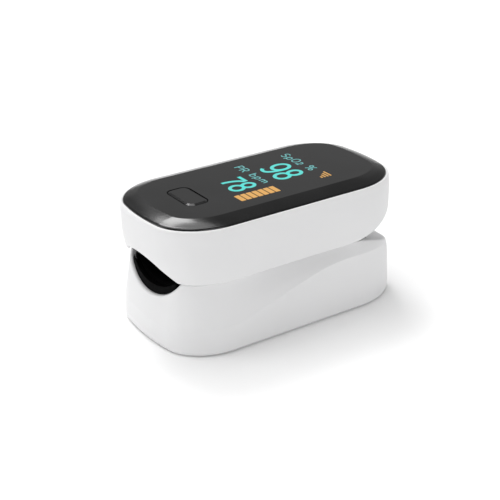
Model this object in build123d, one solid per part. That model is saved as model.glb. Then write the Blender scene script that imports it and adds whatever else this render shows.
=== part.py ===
from build123d import *
import math
import os
from collections import namedtuple

# Fingertip pulse oximeter: a clip of two hinged halves that closes on a finger.
# Millimetres. +X runs from the finger opening to the hinge end, +Y to the wearer's left, +Z up.
# The origin is the bottom centre of the whole object, so it stands on Z = 0.

os.makedirs("parts", exist_ok=True)

# A rim is a rounded rectangle with gently bulged ends, symmetric about both axes.
Rim = namedtuple("Rim", "half_length half_width corner_x corner_y bulge")
PANEL_RIM = Rim(30.0, 15.11, 10.22, 8.39, 2.83)
BASE_RIM = Rim(30.29, 16.59, 10.79, 8.22, 2.54)
CORNER_PULL_Y = 0.52  # handle lengths of the corner curves, as parts of the corner's size
CORNER_PULL_X = 0.545

# How far each wall stands outside its rim: (height, at the front, at the rear, at the sides).
UPPER_WALL = [
    (15.2, -0.85, 0.40, 0.50),
    (16.4, -0.60, 0.65, 0.60),
    (18.0, -0.35, 0.85, 0.68),
    (20.0, 0.10, 0.97, 0.72),
    (23.0, 0.46, 1.02, 0.72),
    (26.0, 0.57, 0.92, 0.65),
    (28.5, 0.45, 0.60, 0.45),
]
SKIRT_WALL = [
    (0.0, -0.50, 0.61, 0.02),
    (1.5, -0.53, 0.58, -0.01),
    (4.0, -0.60, 0.46, -0.11),
    (8.0, -0.72, 0.24, -0.32),
    (10.0, -0.80, 0.08, -0.46),
    (12.0, -0.90, -0.20, -0.64),
    (14.0, -1.04, -0.56, -0.88),
    (16.5, -1.25, -1.02, -1.22),
]

# The waist above the crease leans straight inwards: (crease height, inset there, lean in mm per mm).
# Where it crosses the skirt it leaves a wavy crease, low at the front and high near the hinge.
WAIST_FRONT = (5.65, 0.65, 0.16)
WAIST_REAR = (9.8, -0.06, 0.24)
WAIST_SIDE = {
    -17.0: (6.2, 0.22, 0.20),
    -11.0: (7.7, 0.30, 0.28),
    -5.0: (9.45, 0.43, 0.40),
    1.0: (11.2, 0.55, 0.54),
    7.0: (12.6, 0.70, 0.62),
    12.0: (13.15, 0.78, 0.55),
    17.0: (13.1, 0.77, 0.42),
}
WAIST_BOTTOM = 2.0
WAIST_TOP = 16.5
WALL = 1.4
SLIP = 0.1  # clearance around a piece that drops into a shell

# Levels of the two halves
RIM_TOP = 28.5
LEDGE_TOP = 27.9
LEDGE_BOTTOM = 27.3
PLATEAU = 29.9
BEVEL_START = (29.02, 0.6)  # height, and inset from the rim, where the wide bevel starts
SEAM_LOW = 16.05
SEAM_HIGH = 16.35
FLOOR_TOP = 2.2
BOTTOM_EDGE_RADIUS = 1.2
TOP_EDGE_RADIUS = 0.5
RIM_EDGE_RADIUS = 0.2
SEAM_EDGE_RADIUS = 0.4
LOWER_DECK_BOTTOM = 14.4
LOWER_DECK_TOP = 15.6
UPPER_DECK_BOTTOM = 16.9
UPPER_DECK_TOP = 17.9

# Finger channel
FINGER_STOP = 10.5
STOP_WALL = 0.9
TROUGH_CENTRE_Z = 18.1
TROUGH_Y = 9.6
TROUGH_Z = 5.4
TROUGH_WALL = 0.9
ARCH_CENTRE_Z = 4.5
ARCH_RADIUS = 15.2
ARCH_WALL = 0.9
MOUTH_CORNER_RADIUS = 0.8
PAD_GAP = 0.1
PAD = 0.6
NOTCH_Y = 10.4
NOTCH_Z = 7.25
LIP_SETBACK = 0.7
LIP_REAR = -26.7

# Hinge
HINGE_X = 17.5
HINGE_Z = 16.0
SHAFT_RADIUS = 1.0
SHAFT_HALF = 12.6
RUNNING = 0.05
EAR_RADIUS = 2.3
LOWER_EAR = (10.1, 12.1)
UPPER_EAR = (7.2, 9.3)
WINDOW_FRONT = 13.8
WINDOW_REAR = 20.4
SPRING_MEAN_RADIUS = 2.3
SPRING_WIRE = 0.3
SPRING_PITCH = 0.8
SPRING_TURNS = 5.5
SPRING_INNER_Y = 2.25
LEG_END = 12.5

# Batteries: two AAA cells side by side, the right one turned end for end
CELL_RADIUS = 5.25
CELL_LENGTH = 44.5
CELL_NUB = 0.8
CELL_Y = 5.45
CELL_Z = 6.75
CELL_FRONT = -23.5
PLATE_FRONT = -25.4
PLATE_REAR = 22.5
PLATE = 0.4

# Battery door
DOOR_HALF = 11.15
DOOR_TONGUE_HALF = 11.75
DOOR_FRONT = -25.45
DOOR_LOW = 0.15
DOOR_STEP = 0.85
DOOR_TOP = 1.3
DOOR_PLAY = 0.15

# Screws
SCREW_SPOTS = [(x, side * 11.4) for x in (-16.0, 9.0) for side in (-1, 1)]
SCREW_HEAD_RADIUS = 1.1
SCREW_RADIUS = 0.8
POST_RADIUS = 1.5
LOWER_POST_BOTTOM = 10.0  # above the round tops of the cells

# Electronics
BOARD_BOTTOM = 23.2
BOARD_TOP = 24.2
SENSOR_X = 0.0
DISPLAY_X = 2.5

# Power button
BUTTON_X = -18.05
BUTTON_SIZE = (5.1, 9.6)
BUTTON_CORNER = 1.6
BUTTON_GROOVE = 0.25
BUTTON_TOP = 30.08
BUTTON_SHOULDER = 29.85
BUTTON_BEVEL = 0.5
BUTTON_BOTTOM = 27.2
SWITCH_TOP = 26.0

FAR = 40.0

# Wrist cord insert, as X, Y and Z spans
EYELET_BOX = ((25.4, FAR), (6.1, 10.9), (5.6, 10.4))


def block(x, y, z):
    """A box given by its (low, high) spans along X, Y and Z."""
    centre = ((x[0] + x[1]) / 2, (y[0] + y[1]) / 2, (z[0] + z[1]) / 2)
    return Pos(*centre) * Box(x[1] - x[0], y[1] - y[0], z[1] - z[0])


def both_sides(y_span):
    """The same Y span on the right (-Y) and the left (+Y)."""
    low, high = y_span
    return [(-high, -low), (low, high)]


def rod_along_x(x, y, z, radius):
    """A round rod between the two X values."""
    length = x[1] - x[0]
    return Pos((x[0] + x[1]) / 2, y, z) * Rot(0, 90, 0) * Cylinder(radius, length)


def rod_along_y(x, y, z, radius):
    """A round rod between the two Y values."""
    length = y[1] - y[0]
    return Pos(x, (y[0] + y[1]) / 2, z) * Rot(90, 0, 0) * Cylinder(radius, length)


def post(x, y, z, radius):
    """An upright round post between the two Z values."""
    return Pos(x, y, (z[0] + z[1]) / 2) * Cylinder(radius, z[1] - z[0])


def straight_half(rim):
    """Half the length of the rim's straight sides."""
    return rim.half_length - rim.corner_x - rim.bulge


def rim_end(rim, z, direction, reach, width):
    """One bulged end of a rim with its two corners, from -Y to +Y."""
    arc_half = rim.half_width - rim.corner_y
    sag = rim.bulge * (arc_half / rim.half_width) ** 2
    lean = math.asin(2 * arc_half * sag / (arc_half**2 + sag**2))
    straight = straight_half(rim)
    shoulder = reach - sag
    pull_x = CORNER_PULL_X * (shoulder - straight)
    pull_y = CORNER_PULL_Y * (width - arc_half)
    points = [
        (straight, width),
        (straight + pull_x, width),
        (shoulder - pull_y * math.sin(lean), arc_half + pull_y * math.cos(lean)),
        (shoulder, arc_half),
    ]
    right = [(direction * x, -y, z) for x, y in points]
    left = [(direction * x, y, z) for x, y in reversed(points)]
    arc = ThreePointArc(right[-1], (direction * reach, 0, z), left[0])
    return [Bezier(*right), arc, Bezier(*left)]


def rim_wire(rim, z, front=0.0, rear=0.0, side=0.0):
    """The rim at one height, moved outwards by its front, rear and side offsets."""
    width = rim.half_width + side
    straight = straight_half(rim)
    edges = rim_end(rim, z, 1, rim.half_length + rear, width)
    edges += rim_end(rim, z, -1, rim.half_length + front, width)
    for side_y in (-width, width):
        edges.append(Line((-straight, side_y, z), (straight, side_y, z)))
    return Wire(edges)


def waist_wire(z, inward=0.0):
    """The waist of the lower half at one height."""
    rim = BASE_RIM

    def inset(crease_z, at_crease, lean):
        return at_crease + lean * (z - crease_z) + inward

    stations = [(x, rim.half_width - inset(*row)) for x, row in sorted(WAIST_SIDE.items())]
    straight = straight_half(rim)
    stations[0] = (-straight, stations[0][1])
    stations[-1] = (straight, stations[-1][1])
    edges = rim_end(rim, z, 1, rim.half_length - inset(*WAIST_REAR), stations[-1][1])
    edges += rim_end(rim, z, -1, rim.half_length - inset(*WAIST_FRONT), stations[0][1])
    for side in (-1, 1):
        points = [(x, side * y, z) for x, y in stations]
        edges.append(Spline(*points, tangents=[(1, 0, 0), (1, 0, 0)]))
    return Wire(edges)


def waist(inward=0.0):
    """The solid inside the waist, moved inwards."""
    return Solid.make_loft([waist_wire(WAIST_BOTTOM, inward), waist_wire(WAIST_TOP, inward)], ruled=True)


def wall_loft(rim, sections, inward=0.0):
    """The solid inside a wall, with every section moved inwards."""
    wires = [
        rim_wire(rim, z, front - inward, rear - inward, side - inward)
        for z, front, rear, side in sections
    ]
    return Solid.make_loft(wires)


def rim_slab(rim, z, offset):
    """A straight slab in the shape of the rim, between the two Z values."""
    face = Face(rim_wire(rim, z[0], offset, offset, offset))
    return extrude(face, amount=z[1] - z[0], dir=(0, 0, 1))


def side_prism(edges):
    """A prism across the whole width from edges drawn in the plane Y = -FAR."""
    return extrude(Face(Wire(edges)), amount=2 * FAR, dir=(0, 1, 0))


def in_side_view(points):
    return [(x, -FAR, z) for x, z in points]


def region_below(curve_edges, bottom):
    """Everything below a curve that runs from -X to +X in the side view."""
    start = curve_edges[0] @ 0
    finish = curve_edges[-1] @ 1
    corners = [(finish.X, -FAR, bottom), (start.X, -FAR, bottom)]
    edges = list(curve_edges)
    edges.append(Line(finish, corners[0]))
    edges.append(Line(corners[0], corners[1]))
    edges.append(Line(corners[1], start))
    return side_prism(edges)


def upper_edge(lift=0.0):
    """The bottom edge of the upper half: straight, then curving up round the hinge end."""
    straight = in_side_view([(-FAR, SEAM_HIGH + lift), (14.0, SEAM_HIGH + lift)])
    rise = in_side_view([(14.0, SEAM_HIGH), (20.0, 17.35), (24.0, 18.6), (27.0, 20.1), (29.6, 22.6), (31.4, 26.5)])
    rise = [(x, y, z + lift) for x, y, z in rise]
    return [Line(*straight), Spline(*rise, tangents=[(1, 0, 0), (0.3, 0, 1)])]


def lower_edge(drop=0.0):
    """The top edge of the lower half: straight, then sloping down towards the hinge end."""
    straight = in_side_view([(-FAR, SEAM_LOW - drop), (14.5, SEAM_LOW - drop)])
    fall = in_side_view([(14.5, SEAM_LOW), (20.0, 15.35), (25.0, 13.75), (32.0, 10.6)])
    fall = [(x, y, z - drop) for x, y, z in fall]
    return [Line(*straight), Spline(*fall, tangents=[(1, 0, 0), (1, 0, -0.45)])]


def brim_edges(solid, z):
    """The outer edges between two heights, without upright seams, cross lines and edges deep inside."""
    chosen = []
    for edge in solid.edges():
        box = edge.bounding_box()
        upright = box.size.Z > 0.8 * edge.length
        across = box.size.X < 0.02
        inside = box.size.Y < 0.02 and abs(box.center().Y) < 14
        in_range = box.min.Z > z[0] and box.max.Z < z[1]
        if in_range and not (upright or across or inside):
            chosen.append(edge)
    return chosen


def round_mouth_corners(solid):
    """Rounds the two corners where the finger opening meets the seam."""
    corners = []
    for edge in solid.edges():
        box = edge.bounding_box()
        if max(box.size.Y, box.size.Z) < 0.01 and 5 < abs(box.center().Y) < NOTCH_Y:
            corners.append(edge)
    return solid.fillet(MOUTH_CORNER_RADIUS, corners)


def skirt():
    """The full skirt of the lower half, with its bottom edge rounded."""
    body = wall_loft(BASE_RIM, SKIRT_WALL)
    return body.fillet(BOTTOM_EDGE_RADIUS, body.edges().group_by(Axis.Z)[0])


def channel_bore(half_y, half_z, x):
    """An elliptical bore along the lower half of the finger channel."""
    profile = Plane.YZ.offset(x[0]) * Pos(0, TROUGH_CENTRE_Z) * Ellipse(half_y, half_z)
    return extrude(profile, amount=x[1] - x[0])


def lower_outer():
    """The outside of the lower half: a skirt that the leaning waist cuts into above the crease."""
    foot = skirt() & block((-FAR, FAR), (-FAR, FAR), (-1, WAIST_BOTTOM))
    body = (foot + (skirt() & waist())) & region_below(lower_edge(), -1.0)
    body -= channel_bore(NOTCH_Y, NOTCH_Z, (-FAR, -FAR / 2))
    body = round_mouth_corners(body.solid())
    return body.fillet(TOP_EDGE_RADIUS, brim_edges(body, (11.5, 17.0)))


def lower_cavity(inward):
    """The hollow of the lower half, open at the top up to the sloping rear deck."""
    inside = waist(inward) & wall_loft(BASE_RIM, SKIRT_WALL, inward)
    inside &= block((-FAR, FAR), (-FAR, FAR), (FLOOR_TOP, 20))
    under_deck = region_below(lower_edge(WALL), -1.0)
    open_top = block((-FAR, WINDOW_REAR + 0.1), (-FAR, FAR), (0, 20))
    return inside & (under_deck + open_top)


def trough(grow, x):
    """The lower half of the finger channel, grown outwards."""
    return channel_bore(TROUGH_Y + grow, TROUGH_Z + grow, x)


def arch(grow, x):
    """The upper half of the finger channel, a long round vault, grown outwards."""
    return rod_along_x(x, 0, ARCH_CENTRE_Z, ARCH_RADIUS + grow)


def door_channel():
    """The stepped slot that the battery door slides in, open at the hinge end."""
    front = DOOR_FRONT - DOOR_PLAY
    lip = DOOR_STEP - 0.1
    slot_half = DOOR_HALF + DOOR_PLAY
    groove_half = DOOR_TONGUE_HALF + DOOR_PLAY
    slot = block((front, FAR), (-slot_half, slot_half), (-1, lip))
    groove = block((front, FAR), (-groove_half, groove_half), (lip, DOOR_TOP + DOOR_PLAY))
    mouth = block((PLATE_FRONT + PLATE, PLATE_REAR), (-10.95, 10.95), (0, FLOOR_TOP + 0.1))
    return slot + groove + mouth


def grown(spans, play):
    """Low and high spans with the same play added on every side."""
    return [(low - play, high + play) for low, high in spans]


def lower_shell():
    shell = lower_outer() - lower_cavity(WALL)
    for front, rear in ((-26.6, PLATE_FRONT - 0.05), (PLATE_REAR + PLATE + 0.05, 24.2)):
        shell += block((front, rear), (-10.4, 10.4), (DOOR_TOP + DOOR_PLAY, 10.6))
    for x, y in SCREW_SPOTS:
        outward = math.copysign(1, y)
        reach = sorted((y, y + outward * 3.6))
        shell += post(x, y, (LOWER_POST_BOTTOM, LOWER_DECK_BOTTOM), POST_RADIUS)
        shell += block((x - 0.6, x + 0.6), reach, (LOWER_POST_BOTTOM, LOWER_DECK_BOTTOM - 2))
        shell -= post(x, y, (LOWER_POST_BOTTOM + 0.8, 20.0), SCREW_RADIUS + RUNNING)
    shell -= door_channel()
    shell -= block(*grown(EYELET_BOX, RUNNING))
    return shell


def lanyard_eyelet():
    """A flush insert at the hinge end with a web that a wrist cord can be looped through."""
    insert = lower_outer() & block(*EYELET_BOX)
    for pocket in ((6.7, 7.9), (9.1, 10.3)):
        insert -= block((26.0, FAR), pocket, (6.3, 9.7))
    return insert - rod_along_y(27.8, (6.9, 10.1), 8.0, 0.8)


def battery_door():
    plate = block((DOOR_FRONT, FAR), (-DOOR_HALF, DOOR_HALF), (DOOR_LOW, DOOR_TOP))
    tongues = block((DOOR_FRONT, FAR), (-DOOR_TONGUE_HALF, DOOR_TONGUE_HALF), (DOOR_STEP, DOOR_TOP))
    door = (plate + tongues) & skirt()
    for step in range(6):
        groove_x = 18.0 + 1.2 * step
        door -= rod_along_y(groove_x, (-5.0, 5.0), 0.05, 0.35)
    return door


def ear(y, direction):
    """A hinge ear: a round lug on a foot that goes down (-1) or up (+1) to its deck."""
    lug = rod_along_y(HINGE_X, y, HINGE_Z, EAR_RADIUS)
    foot_end = LOWER_DECK_BOTTOM + 0.6 if direction < 0 else UPPER_DECK_BOTTOM + 0.6
    foot = block((HINGE_X - EAR_RADIUS, HINGE_X + EAR_RADIUS), y, sorted((HINGE_Z, foot_end)))
    return lug + foot


def lower_inner_cover():
    inside = waist(WALL + SLIP)
    deck_area = block((-FAR, WINDOW_REAR), (-FAR, FAR), (LOWER_DECK_BOTTOM, LOWER_DECK_TOP))
    cover = inside & deck_area
    stop = FINGER_STOP + STOP_WALL
    channel = trough(TROUGH_WALL, (-FAR, stop)) & inside
    lip = channel_bore(NOTCH_Y - SLIP, NOTCH_Z - SLIP, (-FAR, LIP_REAR)) & waist(LIP_SETBACK)
    cover += (channel + lip) & block((-FAR, FAR), (-FAR, FAR), (0, LOWER_DECK_TOP))
    cover -= trough(0, (-FAR, FINGER_STOP))
    cover -= block((WINDOW_FRONT, FAR), (-9.9, 9.9), (0, 20))
    for y in both_sides(LOWER_EAR):
        cover += ear(y, -1)
    for y in both_sides((UPPER_EAR[0] - 0.3, UPPER_EAR[1] + 0.3)):
        cover -= rod_along_y(HINGE_X, y, HINGE_Z, EAR_RADIUS + 0.4)
    cover -= rod_along_y(HINGE_X, (-FAR, FAR), HINGE_Z, SHAFT_RADIUS + RUNNING)
    for x, y in SCREW_SPOTS:
        cover -= post(x, y, (10.0, 20.0), SCREW_RADIUS + RUNNING)
        cover -= post(x, y, (LOWER_DECK_TOP - 0.7, 20.0), SCREW_HEAD_RADIUS + RUNNING)
    cover -= block((SENSOR_X - 2.1, SENSOR_X + 2.1), (-2.1, 2.1), (0, 14))
    return cover


def lower_finger_pad():
    x = (-FAR, FINGER_STOP - 0.2)
    pad = trough(-PAD_GAP, x) - trough(-PAD_GAP - PAD, x)
    pad &= waist(WALL + 0.4)
    pad &= block((-FAR, FAR), (-FAR, FAR), (0, LOWER_DECK_TOP - 0.3))
    return pad - block((SENSOR_X - 2.1, SENSOR_X + 2.1), (-2.1, 2.1), (0, 14))


def sensor_window():
    return block((SENSOR_X - 2, SENSOR_X + 2), (-2, 2), (12.35, 13.1))


def sensor_board():
    return block((SENSOR_X - 4, SENSOR_X + 4), (-2.2, 2.2), (11.0, 11.6))


def photodiode():
    return block((SENSOR_X - 1.5, SENSOR_X + 1.5), (-1.5, 1.5), (11.6, 12.3))


def battery(side):
    """One AAA cell; the cell on the right has its nub at the hinge end."""
    rear = CELL_FRONT + CELL_LENGTH
    y = side * CELL_Y
    if side < 0:
        body = (CELL_FRONT, rear - CELL_NUB)
        nub = (rear - CELL_NUB, rear)
    else:
        body = (CELL_FRONT + CELL_NUB, rear)
        nub = (CELL_FRONT, CELL_FRONT + CELL_NUB)
    can = rod_along_x(body, y, CELL_Z, CELL_RADIUS)
    can = fillet(can.edges(), 0.5)
    return can + rod_along_x(nub, y, CELL_Z, 1.9)


def contact_plate(x, y, raised_y=None, raised_to=None):
    """A contact strip, with a raised button where it meets a cell's nub."""
    plate = block(x, y, (FLOOR_TOP + 0.1, 10.4))
    if raised_y is not None:
        plate += rod_along_x(sorted((x[0] + PLATE / 2, raised_to)), raised_y, CELL_Z, 2.0)
    return plate


def battery_bridge_contact():
    x = (PLATE_FRONT, PLATE_FRONT + PLATE)
    return contact_plate(x, (-9.4, 9.4), CELL_Y, CELL_FRONT)


def battery_positive_contact():
    x = (PLATE_REAR, PLATE_REAR + PLATE)
    return contact_plate(x, (-9.4, -1.6), -CELL_Y, CELL_FRONT + CELL_LENGTH)


def battery_negative_contact():
    x = (PLATE_REAR, PLATE_REAR + PLATE)
    return contact_plate(x, (1.6, 9.4))


def battery_spring(x, y):
    """A short round coil between a contact strip and the flat end of a cell."""
    wire_radius = 0.2
    length = x[1] - x[0] - 2 * wire_radius
    helix = Helix(pitch=length / 2, height=length, radius=2.4)
    start = helix @ 0
    section = Plane(start, z_dir=helix % 0) * Circle(wire_radius)
    coil = sweep(section, path=helix, is_frenet=True)
    return Pos(x[0] + wire_radius, y, CELL_Z) * Rot(0, 90, 0) * coil


def battery_springs():
    front = battery_spring((PLATE_FRONT + PLATE, CELL_FRONT), -CELL_Y)
    rear = battery_spring((CELL_FRONT + CELL_LENGTH, PLATE_REAR), CELL_Y)
    return Compound(children=[front.solid(), rear.solid()])


def hinge_shaft():
    shaft = rod_along_y(HINGE_X, (-SHAFT_HALF, SHAFT_HALF), HINGE_Z, SHAFT_RADIUS)
    return chamfer(shaft.edges().filter_by(GeomType.CIRCLE), 0.25)


def torsion_spring(side):
    """A coil round the shaft with one leg under the lower deck and one over the upper deck."""
    length = SPRING_PITCH * SPRING_TURNS
    first_y = SPRING_INNER_Y if side > 0 else -SPRING_INNER_Y - length
    helix = Helix(pitch=SPRING_PITCH, height=length, radius=SPRING_MEAN_RADIUS)
    section = Plane(helix @ 0, z_dir=helix % 0) * Circle(SPRING_WIRE)
    coil = sweep(section, path=helix, is_frenet=True)
    spring = Plane((HINGE_X, first_y, HINGE_Z), x_dir=(0, 0, 1), z_dir=(0, 1, 0)).location * coil
    for leg_y, leg_z in (
        (first_y, HINGE_Z + SPRING_MEAN_RADIUS),
        (first_y + length, HINGE_Z - SPRING_MEAN_RADIUS),
    ):
        spring += rod_along_x((LEG_END, HINGE_X + 0.6), leg_y, leg_z, SPRING_WIRE - 0.02)
    return spring


def screws(head_z, tip_z):
    """Four screws; each head is at head_z and the tip points towards tip_z."""
    group = []
    outward = math.copysign(1, head_z - tip_z)
    for x, y in SCREW_SPOTS:
        head_far = head_z + outward * 0.6
        head = post(x, y, sorted((head_z, head_far)), SCREW_HEAD_RADIUS)
        slot_z = sorted((head_far - outward * 0.3, head_far + outward * 0.1))
        head -= block((x - 0.9, x + 0.9), (y - 0.15, y + 0.15), slot_z)
        head -= block((x - 0.15, x + 0.15), (y - 0.9, y + 0.9), slot_z)
        screw = head + post(x, y, sorted((head_z, tip_z)), SCREW_RADIUS)
        group.append(screw.solid())
    return Compound(children=group)


def flex_cable():
    """A flat flexible cable from the sensor board, up past the shaft to the main board."""
    thick = 0.25
    low = 11.2
    x = 14.4
    bend = 1.2
    run = block((SENSOR_X + 4, x - bend), (-1.2, 1.2), (low, low + thick))
    rise = block((x, x + thick), (-1.2, 1.2), (low + thick + bend, 22.2))
    elbow = rod_along_y(x - bend, (-1.2, 1.2), low + thick + bend, bend + thick)
    elbow -= rod_along_y(x - bend, (-1.2, 1.2), low + thick + bend, bend)
    elbow &= block((x - bend, FAR), (-1.2, 1.2), (0, low + thick + bend))
    return run + elbow + rise


def upper_outer():
    """The outside of the upper half, with the arch in its front wall and rounded edges."""
    body = wall_loft(PANEL_RIM, UPPER_WALL) - region_below(upper_edge(), -1.0)
    body -= arch(ARCH_WALL / 2, (-FAR, -20))
    body = round_mouth_corners(body.solid())
    body = body.fillet(SEAM_EDGE_RADIUS, brim_edges(body, (16.0, 27.0)))
    return body.fillet(RIM_EDGE_RADIUS, brim_edges(body, (28.4, 28.6)))


def upper_shell():
    inside = wall_loft(PANEL_RIM, UPPER_WALL, WALL)
    inside &= block((-FAR, FAR), (-FAR, FAR), (0, LEDGE_BOTTOM))
    rear_floor = region_below(upper_edge(WALL - 0.1), -1.0) & block((WINDOW_REAR + 0.1, FAR), (-FAR, FAR), (0, FAR))
    shell = upper_outer() - (inside - rear_floor)
    for x, y in SCREW_SPOTS:
        outward = math.copysign(1, y)
        shell += post(x, y, (UPPER_DECK_TOP, BOARD_BOTTOM), POST_RADIUS)
        reach = sorted((y, y + outward * 3.3))
        shell += block((x - 0.6, x + 0.6), reach, (UPPER_DECK_TOP + 0.3, BOARD_BOTTOM))
        shell -= post(x, y, (0, 22.6), SCREW_RADIUS + RUNNING)
    shell -= rim_slab(PANEL_RIM, (LEDGE_BOTTOM - 0.1, LEDGE_TOP + 0.1), -1.9)
    shell -= rim_slab(PANEL_RIM, (LEDGE_TOP, FAR), 0.0)
    return shell


def upper_inner_cover():
    inside = wall_loft(PANEL_RIM, UPPER_WALL, WALL + SLIP)
    band = block((-FAR, FAR), (-FAR, FAR), (UPPER_DECK_BOTTOM, UPPER_DECK_TOP))
    cover = inside & band & block((-FAR, WINDOW_REAR), (-FAR, FAR), (0, FAR))
    stop = FINGER_STOP + STOP_WALL
    vault = arch(ARCH_WALL, (-FAR, stop)) & inside
    cover += vault & block((-FAR, FAR), (-FAR, FAR), (UPPER_DECK_BOTTOM, FAR))
    cover -= arch(0, (-FAR, FINGER_STOP))
    cover -= block((WINDOW_FRONT, FAR), (-7.05, 7.05), (0, FAR))
    for y in both_sides((LOWER_EAR[0] - 0.3, LOWER_EAR[1] + 0.3)):
        cover -= block((WINDOW_FRONT, WINDOW_REAR - 0.6), y, (0, FAR))
    for y in both_sides(UPPER_EAR):
        cover += ear(y, 1)
    cover -= rod_along_y(HINGE_X, (-FAR, FAR), HINGE_Z, SHAFT_RADIUS + RUNNING)
    for x, y in SCREW_SPOTS:
        cover -= post(x, y, (0, FAR), SCREW_RADIUS + RUNNING)
        cover -= post(x, y, (0, UPPER_DECK_BOTTOM + 0.7), SCREW_HEAD_RADIUS + RUNNING)
    cover -= block((SENSOR_X - 3.1, SENSOR_X + 3.1), (-2.6, 2.6), (0, FAR))
    return cover


def upper_finger_pad():
    x = (-FAR, FINGER_STOP - 0.2)
    pad = arch(-PAD_GAP, x) - arch(-PAD_GAP - PAD, x)
    pad &= wall_loft(PANEL_RIM, UPPER_WALL, WALL + 0.4)
    pad &= block((-FAR, FAR), (-FAR, FAR), (UPPER_DECK_BOTTOM, FAR))
    return pad - block((SENSOR_X - 3.1, SENSOR_X + 3.1), (-2.6, 2.6), (0, FAR))


def emitter_window():
    return block((SENSOR_X - 3, SENSOR_X + 3), (-2.5, 2.5), (19.3, 20.3))


def emitter_leds():
    """The red and the infrared emitter."""
    dies = [block((x - 0.8, x + 0.8), (-0.6, 0.6), (20.3, 20.8)) for x in (SENSOR_X - 1.4, SENSOR_X + 1.4)]
    return Compound(children=[die.solid() for die in dies])


def emitter_board():
    return block((SENSOR_X - 5, SENSOR_X + 5), (-4, 4), (20.8, 21.4))


def main_board():
    board = rim_slab(PANEL_RIM, (BOARD_BOTTOM, BOARD_TOP), -2.3)
    for x in (-22.5, 22.5):
        board -= post(x, 0, (BOARD_BOTTOM - 1, BOARD_TOP + 1), 1.1)
    return board


def controller_chip():
    return chamfer(block((-14.5, -7.5), (-3.5, 3.5), (22.2, BOARD_BOTTOM)).edges().group_by(Axis.Z)[0], 0.2)


def flex_connector():
    return block((12.9, 16.2), (-2.2, 2.2), (22.2, BOARD_BOTTOM))


def buzzer():
    can = post(22.0, 7.0, (20.9, BOARD_BOTTOM), 2.8)
    return can - post(22.0, 7.0, (20.0, 21.4), 0.6)


def passive_components():
    """Small chip resistors and capacitors under the main board."""
    group = []
    for column in range(5):
        for row in (-1, 1):
            x = -5.0 + 2.6 * column
            y = row * (6.4 + 0.5 * (column % 2))
            group.append(block((x, x + 1.6), (y - 0.4, y + 0.4), (BOARD_BOTTOM - 0.6, BOARD_BOTTOM)).solid())
    return Compound(children=group)


def display_frame():
    x = (DISPLAY_X - 16.0, DISPLAY_X + 16.0)
    frame = block(x, (-11.4, 11.4), (BOARD_TOP, 26.8))
    return frame - block((x[0] + 1.2, x[1] - 1.2), (-10.2, 10.2), (BOARD_TOP - 1, FAR))


def oled_display():
    return block((DISPLAY_X - 15.0, DISPLAY_X + 15.0), (-10.6, 10.6), (26.8, 28.3))


def button_outline(grow):
    """The rounded rectangle of the power button, grown outwards."""
    size_x, size_y = BUTTON_SIZE
    outline = RectangleRounded(size_x + 2 * grow, size_y + 2 * grow, BUTTON_CORNER + grow)
    return Pos(BUTTON_X, 0) * outline


def lens_ring(rows):
    """A solid inside the rim of the panel, from rows of (height, inset)."""
    return Solid.make_loft([rim_wire(PANEL_RIM, z, -inset, -inset, -inset) for z, inset in rows])


def front_panel():
    """The glossy black lens: a flat plateau inside a wide bevel with a steep rounded rim."""
    steep = [(RIM_TOP, 0.05), (28.75, 0.12), (28.92, 0.32), BEVEL_START]
    wide = [BEVEL_START, (29.5, 1.9), (PLATEAU, 3.3)]
    panel = lens_ring(steep) + lens_ring(wide)
    panel += rim_slab(PANEL_RIM, (LEDGE_TOP, RIM_TOP), -0.05)
    panel -= rim_slab(PANEL_RIM, (LEDGE_TOP - 0.1, 28.4), -2.6)
    return panel - extrude(Pos(0, 0, 26) * button_outline(BUTTON_GROOVE), amount=6)


def power_button():
    cap = extrude(Pos(0, 0, BUTTON_BOTTOM) * button_outline(0), amount=BUTTON_SHOULDER - BUTTON_BOTTOM)
    shoulder = Pos(0, 0, BUTTON_SHOULDER) * button_outline(0)
    crown = Pos(0, 0, BUTTON_TOP) * button_outline(-BUTTON_BEVEL)
    cap += loft([shoulder, crown])
    flange = extrude(Pos(0, 0, BUTTON_BOTTOM) * button_outline(0.8), amount=0.7)
    return cap + flange


def tact_switch():
    body = block((BUTTON_X - 3, BUTTON_X + 3), (-3, 3), (BOARD_TOP, SWITCH_TOP))
    return body - post(BUTTON_X, 0, (24.6, FAR), 1.65)


def switch_plunger():
    return post(BUTTON_X, 0, (25.2, BUTTON_BOTTOM), 1.5)


PIECES = {
    "lower_shell": lower_shell(),
    "lower_inner_cover": lower_inner_cover(),
    "lower_finger_pad": lower_finger_pad(),
    "sensor_window": sensor_window(),
    "sensor_board": sensor_board(),
    "photodiode": photodiode(),
    "battery_right": battery(-1),
    "battery_left": battery(1),
    "battery_bridge_contact": battery_bridge_contact(),
    "battery_positive_contact": battery_positive_contact(),
    "battery_negative_contact": battery_negative_contact(),
    "battery_springs": battery_springs(),
    "lanyard_eyelet": lanyard_eyelet(),
    "hinge_shaft": hinge_shaft(),
    "torsion_spring_right": torsion_spring(-1),
    "torsion_spring_left": torsion_spring(1),
    "lower_screws": screws(LOWER_DECK_TOP - 0.7, 11.0),
    "flex_cable": flex_cable(),
    "battery_door": battery_door(),
    "upper_shell": upper_shell(),
    "upper_inner_cover": upper_inner_cover(),
    "upper_finger_pad": upper_finger_pad(),
    "upper_screws": screws(UPPER_DECK_BOTTOM + 0.7, 22.0),
    "emitter_window": emitter_window(),
    "emitter_leds": emitter_leds(),
    "emitter_board": emitter_board(),
    "main_board": main_board(),
    "controller_chip": controller_chip(),
    "passive_components": passive_components(),
    "flex_connector": flex_connector(),
    "buzzer": buzzer(),
    "tact_switch": tact_switch(),
    "display_frame": display_frame(),
    "oled_display": oled_display(),
    "front_panel": front_panel(),
    "power_button": power_button(),
    "switch_plunger": switch_plunger(),
}

for node, piece in PIECES.items():
    export_step(piece, f"parts/{node}.step")
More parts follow.
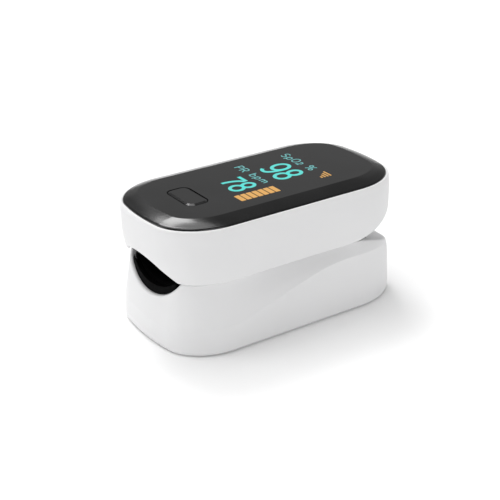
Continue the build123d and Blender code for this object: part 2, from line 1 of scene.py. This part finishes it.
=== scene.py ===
"""Fingertip pulse oximeter: looks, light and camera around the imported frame.

Lengths are in metres unless a name says otherwise; MM turns millimetres into metres.
+X runs from the finger opening to the hinge, +Z is up, and the object stands on Z = 0.
"""

import math

import bmesh
import bpy
from mathutils import Matrix, Vector


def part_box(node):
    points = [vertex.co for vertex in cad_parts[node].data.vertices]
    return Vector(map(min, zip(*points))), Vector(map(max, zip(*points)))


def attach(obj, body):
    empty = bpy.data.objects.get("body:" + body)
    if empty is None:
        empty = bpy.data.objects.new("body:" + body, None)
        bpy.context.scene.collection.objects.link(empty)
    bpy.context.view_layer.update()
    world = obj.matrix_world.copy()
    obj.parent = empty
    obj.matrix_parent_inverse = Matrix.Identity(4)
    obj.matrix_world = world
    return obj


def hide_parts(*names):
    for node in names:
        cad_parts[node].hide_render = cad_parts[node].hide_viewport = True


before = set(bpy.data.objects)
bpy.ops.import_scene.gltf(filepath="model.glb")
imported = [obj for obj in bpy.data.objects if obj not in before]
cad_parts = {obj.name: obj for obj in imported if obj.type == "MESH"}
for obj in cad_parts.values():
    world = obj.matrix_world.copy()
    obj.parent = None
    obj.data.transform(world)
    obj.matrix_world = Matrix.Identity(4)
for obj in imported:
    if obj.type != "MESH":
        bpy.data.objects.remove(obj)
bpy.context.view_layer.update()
MM = 0.001

# Camera, turned from -Y towards the finger opening and raised above the floor
CAMERA_AZIMUTH = math.radians(-34.742)
CAMERA_ELEVATION = math.radians(25.659)
CAMERA_DISTANCE = 0.264993
CAMERA_RIGHT = -0.001723
CAMERA_UP = 0.011295
CAMERA_LENS_MM = 83.44
CAMERA_SENSOR_MM = 36.0

# Light
WORLD_STRENGTH = 0.26
FLOOR_HALF = 4.0
SOFTBOXES = {
    # name: (place, width, height, power in watts, what it points at)
    "key": ((0.11, 0.51, 0.73), 0.30, 0.30, 2.3, (0, 0, 0.02)),
    "overhead": ((-0.10, 0.23, 0.86), 0.85, 0.85, 6.6, (0, 0, 0.02)),
    "near": ((0.0, -0.93, 0.28), 0.60, 0.30, 2.5, (0, 0, 0.015)),
    "left": ((-0.86, 0.38, 0.24), 0.60, 0.40, 2.3, (0, 0, 0.015)),
    "backdrop": ((1.00, 1.45, 0.85), 1.60, 1.20, 0.7, (0, 0, 0.02)),
}

# Display marks lie on the lens; their sizes are in millimetres, read with +X up and -Y to the right
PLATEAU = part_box("front_panel")[1].z
MARK_SINK = 0.01 * MM
MARK_RISE = 0.02 * MM
READINGS = {
    # piece: (stroke width, [(glyph, left Y, bottom X, width, height), ...])
    "oxygen_reading": (0.85, [("9", 3.95, 3.3, 3.1, 6.7), ("8", -0.55, 3.3, 3.0, 6.7)]),
    "pulse_reading": (0.8, [("7", 3.0, -8.3, 2.7, 5.2), ("8", -0.75, -8.5, 2.75, 5.9)]),
}
LABEL_STROKE = 0.26
LABELS = {
    # piece: [(glyph, left Y, bottom X, width, height), ...]
    "oxygen_mark": [
        ("S", 8.2, 12.0, 1.35, 2.1),
        ("p", 6.2, 12.0, 1.3, 2.1),
        ("O", 4.4, 12.0, 1.6, 2.1),
        ("2", 2.2, 11.9, 1.0, 1.5),
    ],
    "percent_mark": [("%", -0.75, 12.0, 2.1, 2.3)],
    "pulse_mark": [("P", 7.9, -0.9, 1.3, 2.1), ("R", 6.0, -0.9, 1.3, 2.1)],
    "rate_mark": [("b", 2.5, -0.7, 1.25, 2.0), ("p", 0.6, -0.7, 1.25, 2.0), ("m", -1.3, -0.7, 1.7, 2.0)],
}
BAR_CORNER = 0.12
PULSE_BARS = 7
PULSE_BAR_TOP = -0.05
PULSE_BAR_PITCH = 1.47
PULSE_BAR_GAP = 0.28
PULSE_BAR_SIDES = (-5.5, -8.55)
SIGNAL_BARS = 4
SIGNAL_BAR_BOTTOM = 11.5
SIGNAL_BAR_PITCH = 0.78
SIGNAL_BAR_HEIGHT = 0.38
SIGNAL_BAR_SIDES = (-7.0, -7.9)
SIGNAL_BAR_STEP = 0.62

# Finger pads: a thin skin with ribs across it and a raised frame round the window
PAD_COLUMNS = 150
PAD_ROWS = 72
PAD_THICK = 0.58 * MM
PAD_THIN = 0.40 * MM
PAD_SETBACK = (0.15 * MM, 0.10 * MM)
PAD_TAPER = 0.9 * MM
RIB_PITCH = 1.6 * MM
RIB_FADE = 2.0 * MM
RIB_MARGIN = (1.2 * MM, 2.2 * MM)
WINDOW_FRAME = (0.5 * MM, 0.9 * MM)
SHARP_EDGE = math.radians(40)


# ---------------------------------------------------------------- camera, floor and light


def place_camera():
    sin_a, cos_a = math.sin(CAMERA_AZIMUTH), math.cos(CAMERA_AZIMUTH)
    sin_e, cos_e = math.sin(CAMERA_ELEVATION), math.cos(CAMERA_ELEVATION)
    back = Vector((sin_a * cos_e, -cos_a * cos_e, sin_e))
    right = Vector((cos_a, sin_a, 0))
    up = back.cross(right)
    data = bpy.data.cameras.new("camera")
    data.lens = CAMERA_LENS_MM
    data.sensor_width = CAMERA_SENSOR_MM
    data.clip_start = 0.01
    camera = bpy.data.objects.new("camera", data)
    bpy.context.scene.collection.objects.link(camera)
    turn = Matrix((right, up, back)).transposed().to_4x4()
    place = CAMERA_DISTANCE * back + CAMERA_RIGHT * right + CAMERA_UP * up
    camera.matrix_world = Matrix.Translation(place) @ turn
    bpy.context.scene.camera = camera


def place_lights():
    world = bpy.data.worlds.new("studio")
    bpy.context.scene.world = world
    world.use_nodes = True
    background = world.node_tree.nodes["Background"]
    background.inputs["Color"].default_value = (1, 1, 1, 1)
    background.inputs["Strength"].default_value = WORLD_STRENGTH
    for name, (place, width, height, power, target) in SOFTBOXES.items():
        data = bpy.data.lights.new(name, "AREA")
        data.shape = "RECTANGLE"
        data.size = width
        data.size_y = height
        data.energy = power
        light = bpy.data.objects.new(name, data)
        light.location = place
        aim = Vector(target) - Vector(place)
        light.rotation_euler = aim.to_track_quat("-Z", "Y").to_euler()
        bpy.context.scene.collection.objects.link(light)


# ---------------------------------------------------------------- materials


class Surface:
    """A Principled material whose patterns are laid out in the object's own metres."""

    def __init__(self, name, colour, roughness, **sockets):
        self.material = bpy.data.materials.new(name)
        self.material.use_nodes = True
        self.tree = self.material.node_tree
        self.shader = self.tree.nodes["Principled BSDF"]
        self.place = self.add("ShaderNodeTexCoord").outputs["Object"]
        self.colour = colour
        self.roughness = roughness
        self.shader.inputs["Base Color"].default_value = (*colour, 1)
        self.shader.inputs["Roughness"].default_value = roughness
        for socket, value in sockets.items():
            self.shader.inputs[socket.replace("_", " ")].default_value = value

    def add(self, kind, **values):
        node = self.tree.nodes.new(kind)
        for key, value in values.items():
            if key in node.inputs:
                node.inputs[key].default_value = value
            else:
                setattr(node, key, value)
        return node

    def join(self, source, target):
        self.tree.links.new(source, target)

    def steps(self, size):
        """Places in the object, counted in steps of that size."""
        scale = self.add("ShaderNodeVectorMath", operation="SCALE")
        scale.inputs["Scale"].default_value = 1 / size
        self.join(self.place, scale.inputs[0])
        return scale.outputs[0]

    def noise(self, size, detail=2.0, stretch=(1, 1, 1)):
        """Noise whose features are about that size, in metres."""
        mapping = self.add("ShaderNodeMapping")
        mapping.inputs["Scale"].default_value = [1 / (size * s) for s in stretch]
        self.join(self.place, mapping.inputs["Vector"])
        noise = self.add("ShaderNodeTexNoise", Scale=1.0, Detail=detail)
        self.join(mapping.outputs["Vector"], noise.inputs["Vector"])
        return noise.outputs["Fac"]

    def remap(self, source, low, high, from_low=0.3, from_high=0.7):
        node = self.add("ShaderNodeMapRange")
        limits = {"From Min": from_low, "From Max": from_high, "To Min": low, "To Max": high}
        for name, value in limits.items():
            node.inputs[name].default_value = value
        self.join(source, node.inputs["Value"])
        return node.outputs["Result"]

    def mix(self, factor, first, second):
        """A colour between two colours; each is a colour or another node's output."""
        node = self.add("ShaderNodeMix", data_type="RGBA")
        factor_socket, first_socket, second_socket = (node.inputs[i] for i in (0, 6, 7))
        for socket, value in ((first_socket, first), (second_socket, second)):
            if isinstance(value, tuple):
                socket.default_value = (*value, 1)
            else:
                self.join(value, socket)
        self.join(factor, factor_socket)
        return node.outputs[2]

    def tint(self, size, amount):
        """Uneven colour, lighter and darker by the amount."""
        dark = tuple(c * (1 - amount) for c in self.colour)
        light = tuple(min(1.0, c * (1 + amount)) for c in self.colour)
        patches = self.remap(self.noise(size), 0, 1)
        self.join(self.mix(patches, dark, light), self.shader.inputs["Base Color"])
        return self

    def sheen_patches(self, size, amount, stretch=(1, 1, 1)):
        """Uneven gloss, rougher and smoother by the amount."""
        low, high = self.roughness - amount, self.roughness + amount
        patches = self.remap(self.noise(size, 4.0, stretch), low, high)
        self.join(patches, self.shader.inputs["Roughness"])
        return self

    def bump(self, height, distance):
        """Relief on top of what is there already."""
        node = self.add("ShaderNodeBump", Strength=1.0, Distance=distance)
        previous = self.shader.inputs["Normal"].links
        if previous:
            self.join(previous[0].from_socket, node.inputs["Normal"])
        self.join(height, node.inputs["Height"])
        self.join(node.outputs["Normal"], self.shader.inputs["Normal"])
        return self

    def grain(self, size, distance, stretch=(1, 1, 1)):
        """Fine relief left by the mould, the tool or the drawing die."""
        return self.bump(self.noise(size, 3.0, stretch), distance)


def white_shell():
    surface = Surface("white_abs", (0.77, 0.77, 0.775), 0.40, IOR=1.44)
    surface.tint(18 * MM, 0.012).sheen_patches(3 * MM, 0.05)
    return surface.grain(0.16 * MM, 0.002 * MM).grain(9 * MM, 0.02 * MM).material


def black_lens():
    surface = Surface("black_acrylic", (0.006, 0.006, 0.0062), 0.18, IOR=1.50)
    surface.tint(10 * MM, 0.25).sheen_patches(5 * MM, 0.03, (1, 3, 1))
    return surface.grain(7 * MM, 0.006 * MM).material


def black_plastic():
    surface = Surface("black_abs", (0.0018, 0.0018, 0.0019), 0.7, Specular_IOR_Level=0.04)
    surface.tint(4 * MM, 0.25).sheen_patches(1.2 * MM, 0.08)
    return surface.grain(0.12 * MM, 0.006 * MM).material


def black_silicone():
    surface = Surface("black_silicone", (0.0016, 0.0016, 0.0017), 0.78, Specular_IOR_Level=0.04)
    surface.tint(2.5 * MM, 0.3).sheen_patches(0.9 * MM, 0.1)
    return surface.grain(0.1 * MM, 0.01 * MM).material


def spring_steel():
    surface = Surface("drawn_steel", (0.58, 0.575, 0.56), 0.28, Metallic=1.0)
    surface.tint(1.5 * MM, 0.12).sheen_patches(0.5 * MM, 0.1)
    return surface.grain(0.08 * MM, 0.004 * MM, (1, 6, 1)).material


def nickel_contact():
    surface = Surface("nickel_plate", (0.72, 0.70, 0.65), 0.24, Metallic=1.0)
    surface.tint(2.0 * MM, 0.08).sheen_patches(0.8 * MM, 0.08)
    return surface.grain(0.15 * MM, 0.004 * MM).material


def board_green():
    surface = Surface("solder_mask", (0.012, 0.115, 0.045), 0.32)
    bricks = surface.add("ShaderNodeTexBrick", Scale=1.0, offset=0.37, squash=1.6)
    surface.join(surface.steps(0.9 * MM), bricks.inputs["Vector"])
    bricks.inputs["Mortar Size"].default_value = 0.09
    bricks.inputs["Mortar Smooth"].default_value = 0.3
    traces = bricks.outputs["Fac"]
    patches = surface.remap(surface.noise(3 * MM), 0, 1)
    mask = surface.mix(patches, (0.010, 0.10, 0.038), (0.015, 0.13, 0.052))
    surface.join(surface.mix(traces, mask, (0.035, 0.22, 0.08)), surface.shader.inputs["Base Color"])
    return surface.bump(traces, 0.03 * MM).grain(0.2 * MM, 0.004 * MM).material


def component_black():
    surface = Surface("moulded_epoxy", (0.018, 0.018, 0.019), 0.55)
    surface.tint(1.0 * MM, 0.2).sheen_patches(0.4 * MM, 0.1)
    return surface.grain(0.06 * MM, 0.008 * MM).material


def component_tan():
    surface = Surface("ceramic_chip", (0.36, 0.27, 0.17), 0.5)
    surface.tint(0.6 * MM, 0.25).sheen_patches(0.3 * MM, 0.1)
    return surface.grain(0.06 * MM, 0.006 * MM).material


def flex_amber():
    surface = Surface("polyimide", (0.50, 0.22, 0.035), 0.3, Coat_Weight=0.3)
    bands = surface.add("ShaderNodeTexWave", Scale=1.0, bands_direction="Y")
    surface.join(surface.steps(0.9 * MM), bands.inputs["Vector"])
    tracks = surface.remap(bands.outputs["Fac"], 0, 1, 0.45, 0.6)
    amber = surface.mix(tracks, (0.52, 0.24, 0.04), (0.30, 0.11, 0.02))
    surface.join(amber, surface.shader.inputs["Base Color"])
    return surface.bump(tracks, 0.02 * MM).sheen_patches(1 * MM, 0.06).material


def clear_window():
    surface = Surface("tinted_window", (0.30, 0.02, 0.02), 0.12, Coat_Weight=0.6, Coat_Roughness=0.05)
    surface.tint(1.5 * MM, 0.3).sheen_patches(0.8 * MM, 0.04)
    return surface.grain(1.2 * MM, 0.01 * MM).material


def led_die():
    surface = Surface("emitter_epoxy", (0.75, 0.68, 0.55), 0.2)
    surface.tint(0.5 * MM, 0.2).sheen_patches(0.4 * MM, 0.08)
    return surface.grain(0.3 * MM, 0.01 * MM).material


def display_glass():
    surface = Surface("display_glass", (0.008, 0.008, 0.012), 0.1)
    surface.tint(4 * MM, 0.3).sheen_patches(3 * MM, 0.03)
    return surface.grain(5 * MM, 0.004 * MM).material


def cell_sleeve():
    """A plain printed sleeve: a copper-coloured band at one end of a dark can."""
    surface = Surface("cell_sleeve", (0.03, 0.032, 0.036), 0.3, Metallic=0.6)
    split = surface.add("ShaderNodeSeparateXYZ")
    surface.join(surface.place, split.inputs[0])
    band = surface.remap(split.outputs["X"], 0, 1, 7.4 * MM, 7.6 * MM)
    dark_patches = surface.remap(surface.noise(4 * MM), 0, 1)
    dark = surface.mix(dark_patches, (0.026, 0.028, 0.032), (0.036, 0.038, 0.044))
    copper_patches = surface.remap(surface.noise(2 * MM), 0, 1)
    copper = surface.mix(copper_patches, (0.50, 0.22, 0.07), (0.62, 0.30, 0.11))
    surface.join(surface.mix(band, dark, copper), surface.shader.inputs["Base Color"])
    return surface.sheen_patches(1.5 * MM, 0.08).grain(0.6 * MM, 0.01 * MM).material


def lit_mark(name, colour):
    """A lit part of the display, under the same gloss as the lens."""
    surface = Surface(name, (0.004, 0.004, 0.004), 0.18, IOR=1.50, Emission_Strength=1.0)
    dim = tuple(c * 0.93 for c in colour)
    pixels = surface.mix(surface.remap(surface.noise(0.35 * MM), 0, 1), dim, colour)
    surface.join(pixels, surface.shader.inputs["Emission Color"])
    return surface.sheen_patches(5 * MM, 0.03, (1, 3, 1)).grain(7 * MM, 0.006 * MM).material


def floor_paper():
    surface = Surface("studio_paper", (0.96, 0.96, 0.96), 0.8, IOR=1.25)
    surface.tint(60 * MM, 0.004).sheen_patches(20 * MM, 0.05)
    return surface.grain(0.5 * MM, 0.003 * MM).material


NODE_FINISH = {
    white_shell: ("lower_shell", "upper_shell", "battery_door", "lanyard_eyelet"),
    black_lens: ("front_panel", "power_button"),
    black_plastic: ("lower_inner_cover", "upper_inner_cover", "display_frame", "switch_plunger"),
    black_silicone: ("lower_finger_pad", "upper_finger_pad"),
    spring_steel: (
        "hinge_shaft",
        "torsion_spring_left",
        "torsion_spring_right",
        "lower_screws",
        "upper_screws",
    ),
    nickel_contact: (
        "battery_bridge_contact",
        "battery_positive_contact",
        "battery_negative_contact",
        "battery_springs",
    ),
    board_green: ("main_board", "sensor_board", "emitter_board"),
    component_black: ("controller_chip", "photodiode", "buzzer", "tact_switch", "flex_connector"),
    component_tan: ("passive_components",),
    flex_amber: ("flex_cable",),
    clear_window: ("sensor_window", "emitter_window"),
    led_die: ("emitter_leds",),
    display_glass: ("oled_display",),
    cell_sleeve: ("battery_left", "battery_right"),
}


def finish_nodes():
    """Gives every node from the CAD its own material."""
    for make, nodes in NODE_FINISH.items():
        material = make()
        for node in nodes:
            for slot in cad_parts[node].material_slots:
                slot.material = material


# ---------------------------------------------------------------- pieces


def add_piece(name, verts, faces, material, body):
    mesh = bpy.data.meshes.new(name)
    mesh.from_pydata(verts, [], faces)
    mesh.materials.append(material)
    piece = bpy.data.objects.new(name, mesh)
    bpy.context.scene.collection.objects.link(piece)
    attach(piece, body)
    return piece


def arc(cx, cy, rx, ry, start, end, steps=20):
    """Points on an ellipse, angles in degrees from +X, anticlockwise."""
    angles = [math.radians(start + (end - start) * i / steps) for i in range(steps + 1)]
    return [(cx + rx * math.cos(a), cy + ry * math.sin(a)) for a in angles]


CLOSED = "closed"


def loop(cx, cy, rx, ry):
    """An ellipse as a closed stroke: its points, then the word that closes it."""
    return arc(cx, cy, rx, ry, 0, 360, 40)[:-1] + [CLOSED]


# Each mark is a list of strokes in a box 1 wide and 1 high, from its lower left corner.
GLYPHS = {
    "9": [
        loop(0.5, 0.68, 0.5, 0.32),
        arc(0.46, 0.60, 0.54, 0.60, 10, -90, 16) + arc(0.40, 0.17, 0.40, 0.17, -95, -160, 8),
    ],
    "8": [loop(0.5, 0.76, 0.43, 0.24), loop(0.5, 0.26, 0.5, 0.26)],
    "7": [[(0.0, 1.0), (1.0, 1.0)] + arc(1.3, 0.0, 0.85, 0.93, 110, 180, 10)],
    "S": [arc(0.5, 0.75, 0.45, 0.25, 30, 270, 14) + arc(0.5, 0.25, 0.45, 0.25, 90, -150, 14)],
    "p": [[(0.0, 0.62), (0.0, -0.28)], loop(0.45, 0.30, 0.45, 0.32)],
    "b": [[(0.0, 1.0), (0.0, 0.0)], loop(0.45, 0.32, 0.45, 0.32)],
    "O": [loop(0.5, 0.5, 0.5, 0.5)],
    "2": [arc(0.5, 0.70, 0.45, 0.30, 160, -30, 14) + [(0.0, 0.0), (1.0, 0.0)]],
    "P": [[(0.0, 0.0), (0.0, 1.0)] + arc(0.55, 0.74, 0.42, 0.26, 90, -90, 12) + [(0.0, 0.48)]],
    "R": [
        [(0.0, 0.0), (0.0, 1.0)] + arc(0.55, 0.74, 0.42, 0.26, 90, -90, 12) + [(0.0, 0.48)],
        [(0.5, 0.48), (1.0, 0.0)],
    ],
    "m": [
        [(0.0, 0.0), (0.0, 0.62)],
        arc(0.25, 0.38, 0.25, 0.24, 180, 0, 10) + [(0.5, 0.0)],
        arc(0.75, 0.38, 0.25, 0.24, 180, 0, 10) + [(1.0, 0.0)],
    ],
    "%": [loop(0.2, 0.78, 0.2, 0.2), loop(0.8, 0.22, 0.2, 0.2), [(0.85, 1.0), (0.15, 0.0)]],
}


def stroke_outline(points, half_width):
    """Left and right edges of a stroke along its points, and whether it is closed."""
    closed = points[-1] == CLOSED
    if closed:
        points = points[:-1]
    count = len(points)
    left, right = [], []
    for i, (x, y) in enumerate(points):
        before = points[i - 1] if closed or i else points[i]
        after = points[(i + 1) % count] if closed or i < count - 1 else points[i]
        into = Vector((x - before[0], y - before[1])).normalized() if before != (x, y) else None
        out = Vector((after[0] - x, after[1] - y)).normalized() if after != (x, y) else None
        into = into or out
        out = out or into
        along = (into + out).normalized()
        reach = half_width / max(0.5, along.dot(into))
        left.append((x - along.y * reach, y + along.x * reach))
        right.append((x + along.y * reach, y - along.x * reach))
    return left, right, closed


def cap(centre, start, steps=8):
    """The half circle from start round the stroke's end, not counting its two ends."""
    radius = math.dist(centre, start)
    first = math.atan2(start[1] - centre[1], start[0] - centre[0])
    angles = [first - math.pi * i / steps for i in range(1, steps)]
    return [(centre[0] + radius * math.cos(a), centre[1] + radius * math.sin(a)) for a in angles]


def slab(verts, faces, outlines, low, high):
    """Adds a flat slab; outlines is one ring, or an outer and an inner ring with as many points."""
    base = len(verts)
    rings = [(outline, z) for outline in outlines for z in (low, high)]
    for outline, z in rings:
        verts.extend((x, y, z) for x, y in outline)
    count = len(outlines[0])

    def at(ring, i):
        return base + ring * count + i % count

    for index in range(len(outlines)):
        for i in range(count):
            side = [at(2 * index, i), at(2 * index, i + 1), at(2 * index + 1, i + 1), at(2 * index + 1, i)]
            faces.append(side if index == 0 else side[::-1])
    if len(outlines) == 1:
        faces.append([at(1, i) for i in range(count)])
        faces.append([at(0, i) for i in reversed(range(count))])
    else:
        for i in range(count):
            faces.append([at(1, i), at(1, i + 1), at(3, i + 1), at(3, i)])
            faces.append([at(2, i), at(2, i + 1), at(0, i + 1), at(0, i)])


def add_stroke(verts, faces, points, half_width, low, high):
    left, right, closed = stroke_outline(points, half_width)
    if closed:
        slab(verts, faces, [right, left], low, high)
    else:
        # right side forwards, round the end, left side back, round the start
        outline = right + cap(points[-1], right[-1])[::-1] + left[::-1] + cap(points[0], left[0])[::-1]
        slab(verts, faces, [outline], low, high)


def text_mark(name, marks, stroke, material):
    """One lit reading or unit mark."""
    verts, faces = [], []
    for glyph, left_y, bottom_x, width, height in marks:
        for points in GLYPHS[glyph]:
            placed = []
            for point in points:
                if point == CLOSED:
                    placed.append(point)
                else:
                    x = (bottom_x + point[1] * height) * MM
                    y = (left_y - point[0] * width) * MM
                    placed.append((x, y))
            add_stroke(verts, faces, placed, stroke / 2 * MM, PLATEAU - MARK_SINK, PLATEAU + MARK_RISE)
    add_piece(name, verts, faces, material, "upper_clip")


def bar_mark(name, bars, material):
    """Lit bars with rounded corners. bars: (low X, high X, left Y, right Y) in millimetres."""
    verts, faces = [], []
    for x_low, x_high, y_left, y_right in bars:
        outline = []
        for x_corner, y_corner, start in (
            (x_high - BAR_CORNER, y_left - BAR_CORNER, 0),
            (x_low + BAR_CORNER, y_left - BAR_CORNER, 90),
            (x_low + BAR_CORNER, y_right + BAR_CORNER, 180),
            (x_high - BAR_CORNER, y_right + BAR_CORNER, 270),
        ):
            quarter = arc(x_corner, y_corner, BAR_CORNER, BAR_CORNER, start, start + 90, 4)
            outline += [(x * MM, y * MM) for x, y in quarter]
        slab(verts, faces, [outline], PLATEAU - MARK_SINK, PLATEAU + MARK_RISE)
    add_piece(name, verts, faces, material, "upper_clip")


def make_display():
    cyan = lit_mark("lit_cyan", (0.10, 0.72, 0.66))
    pale = lit_mark("lit_pale_cyan", (0.17, 0.52, 0.52))
    orange = lit_mark("lit_orange", (0.76, 0.40, 0.10))
    for name, (stroke, marks) in READINGS.items():
        text_mark(name, marks, stroke, cyan)
    for name, marks in LABELS.items():
        text_mark(name, marks, LABEL_STROKE, pale)
    pulse_bars = []
    for i in range(PULSE_BARS):
        top = PULSE_BAR_TOP - PULSE_BAR_PITCH * i
        pulse_bars.append((top - PULSE_BAR_PITCH + PULSE_BAR_GAP, top, *PULSE_BAR_SIDES))
    bar_mark("pulse_bar", pulse_bars, orange)
    signal_bars = []
    for i in range(SIGNAL_BARS):
        bottom = SIGNAL_BAR_BOTTOM + SIGNAL_BAR_PITCH * i
        left, right = SIGNAL_BAR_SIDES
        signal_bars.append((bottom, bottom + SIGNAL_BAR_HEIGHT, left + SIGNAL_BAR_STEP * i, right))
    bar_mark("signal_mark", signal_bars, orange)


def smooth_step(start, end, value):
    t = min(1.0, max(0.0, (value - start) / (end - start)))
    return t * t * (3 - 2 * t)


def tidy_normals(piece):
    """Points every face outwards and shades the piece smoothly except at sharp edges."""
    bm = bmesh.new()
    bm.from_mesh(piece.data)
    bmesh.ops.recalc_face_normals(bm, faces=bm.faces)
    for edge in bm.edges:
        if len(edge.link_faces) == 2 and edge.calc_face_angle() > SHARP_EDGE:
            edge.smooth = False
    for face in bm.faces:
        face.smooth = True
    bm.to_mesh(piece.data)
    bm.free()


def pad_front(low_x, y):
    """X of a pad's front edge, which bows back and is cut back further towards its sides."""
    bow = 2.6 * MM * (y / (16.5 * MM)) ** 2
    cut_back = 1.2 * MM * max(0, abs(y) / (9.6 * MM) - 0.5)
    return low_x + PAD_SETBACK[0] + bow + cut_back


def pad_thickness(x, y, edge, window, ribs):
    """Full on the ribs and on the window's frame, thin elsewhere, and tapered to the pad's edge."""
    frame_gap = max(abs(x) - window[0], abs(y) - window[1])
    rib = 0.5 + 0.5 * math.cos(2 * math.pi * x / RIB_PITCH)
    rib *= smooth_step(ribs[0], ribs[0] + RIB_FADE, x)
    rib *= 1 - smooth_step(ribs[1] - RIB_FADE, ribs[1], x)
    rib *= smooth_step(*RIB_MARGIN, frame_gap) * smooth_step(*RIB_MARGIN, edge)
    raised = max(rib, 1 - smooth_step(*WINDOW_FRAME, frame_gap))
    taper = 0.35 + 0.65 * smooth_step(0, PAD_TAPER, edge)
    return (PAD_THIN + (PAD_THICK - PAD_THIN) * raised) * taper


def pad_faces(verts, cells, window):
    """Both sides of the skin and the walls between them, leaving the window open.

    cells gives the number of each place's outer vertex; its inner one comes next.
    """
    kept = set()
    for i in range(PAD_COLUMNS):
        for j in range(PAD_ROWS):
            corners = [verts[cells[i + a, j + b]] for a, b in ((0, 0), (1, 0), (1, 1), (0, 1))]
            middle_x = sum(c[0] for c in corners) / 4
            middle_y = sum(c[1] for c in corners) / 4
            if abs(middle_x) > window[0] or abs(middle_y) > window[1]:
                kept.add((i, j))
    walls = {(0, -1): (0, 1), (1, 0): (1, 2), (0, 1): (2, 3), (-1, 0): (3, 0)}
    faces = []
    for i, j in sorted(kept):
        quad = [cells[i, j], cells[i + 1, j], cells[i + 1, j + 1], cells[i, j + 1]]
        faces.append([v + 1 for v in quad])
        faces.append(quad[::-1])
        for (di, dj), (a, b) in walls.items():
            if (i + di, j + dj) not in kept:
                faces.append([quad[a], quad[b], quad[b] + 1, quad[a] + 1])
    return faces


def channel_pad(name, node, body, centre_z, radius_y, radius_z, half_angle, window, ribs):
    """A moulded silicone pad along the finger channel, with grip ribs and a framed window.

    radius_z is negative for the lower pad, which hangs below its centre.
    window is (half length, half width) of the opening; ribs is the X span that has them.
    """
    low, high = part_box(node)
    verts = []
    cells = {}
    for i in range(PAD_COLUMNS + 1):
        for j in range(PAD_ROWS + 1):
            angle = half_angle * (2 * j / PAD_ROWS - 1)
            y = radius_y * math.sin(angle)
            front = pad_front(low.x, y)
            x = front + (high.x - PAD_SETBACK[1] - front) * i / PAD_COLUMNS
            steps_in = min(i, PAD_COLUMNS - i, 2.2 * j, 2.2 * (PAD_ROWS - j))
            edge = steps_in * (high.x - low.x) / PAD_COLUMNS
            cells[i, j] = len(verts)
            for depth in (0, pad_thickness(x, y, edge, window, ribs)):
                scale_y = 1 - depth / radius_y
                scale_z = 1 - depth / abs(radius_z)
                verts.append((x, y * scale_y, centre_z + radius_z * math.cos(angle) * scale_z))
    faces = pad_faces(verts, cells, window)
    used = sorted({v for face in faces for v in face})
    number = {v: k for k, v in enumerate(used)}
    faces = [[number[v] for v in face] for face in faces]
    verts = [verts[v] for v in used]
    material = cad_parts[node].material_slots[0].material
    pad = add_piece(name, verts, faces, material, body)
    tidy_normals(pad)
    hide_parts(node)


def make_pads():
    channel_pad(
        "lower_pad_skin",
        "lower_finger_pad",
        "base",
        centre_z=18.1 * MM,
        radius_y=9.5 * MM,
        radius_z=-5.3 * MM,
        half_angle=math.radians(57),
        window=(2.15 * MM, 2.15 * MM),
        ribs=(-23 * MM, -4 * MM),
    )
    channel_pad(
        "upper_pad_skin",
        "upper_finger_pad",
        "upper_clip",
        centre_z=4.5 * MM,
        radius_y=15.1 * MM,
        radius_z=15.1 * MM,
        half_angle=math.radians(33.5),
        window=(3.15 * MM, 2.65 * MM),
        ribs=(-23 * MM, -5 * MM),
    )


def make_floor():
    corners = [(-1, -1), (1, -1), (1, 1), (-1, 1)]
    mesh = bpy.data.meshes.new("floor")
    mesh.from_pydata([(x * FLOOR_HALF, y * FLOOR_HALF, 0) for x, y in corners], [], [(0, 1, 2, 3)])
    mesh.materials.append(floor_paper())
    floor = bpy.data.objects.new("floor", mesh)
    bpy.context.scene.collection.objects.link(floor)


place_camera()
place_lights()
bpy.context.scene.view_settings.view_transform = "Standard"
finish_nodes()
make_display()
make_pads()
make_floor()
